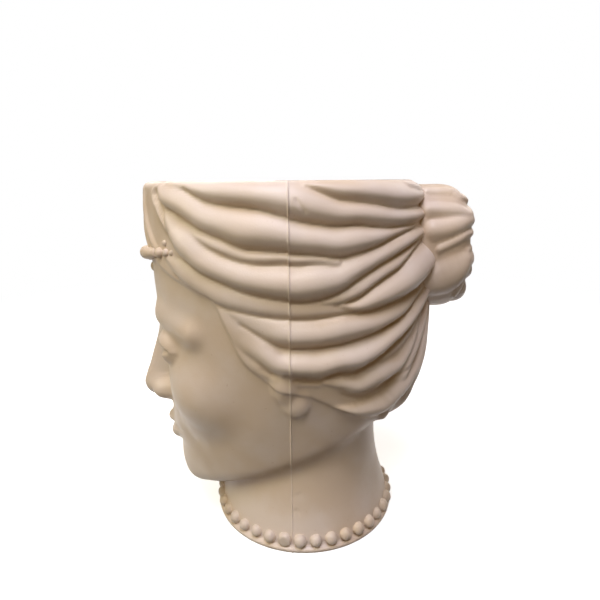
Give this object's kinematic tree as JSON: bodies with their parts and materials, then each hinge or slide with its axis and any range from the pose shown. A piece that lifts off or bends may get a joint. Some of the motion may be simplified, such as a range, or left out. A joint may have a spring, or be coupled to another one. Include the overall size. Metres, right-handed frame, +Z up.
{
  "type": "head planter",
  "caption": "Classical head planter: the open crown is the pot, with swept hair, a bun at the back and a beaded collar as its foot.",
  "frame": {"origin": "on the floor, under the middle of the outline's bounding box", "axes": "+Z up, the face looks to -Y, the head's left is +X"},
  "size_m": [0.1578, 0.2336, 0.24],
  "materials": {
    "shell_plastic": "cream moulded plastic with a soft satin sheen",
    "base_plastic": "cream moulded plastic, plain",
    "plug_rubber": "dark soft rubber"
  },
  "bodies": {
    "planter": {"front_shell": "shell_plastic", "back_shell": "shell_plastic", "hair_bun": "shell_plastic", "forehead_jewel": "shell_plastic", "base_plate": "base_plastic"},
    "drain_plug_body": {"drain_plug": "plug_rubber"}
  },
  "joints": [
    {"name": "drain_plug_pull", "type": "slide", "parent": "planter", "child": "drain_plug_body", "axis": [0, 0, 1], "range_m": [0, 0.03]}
  ]
}
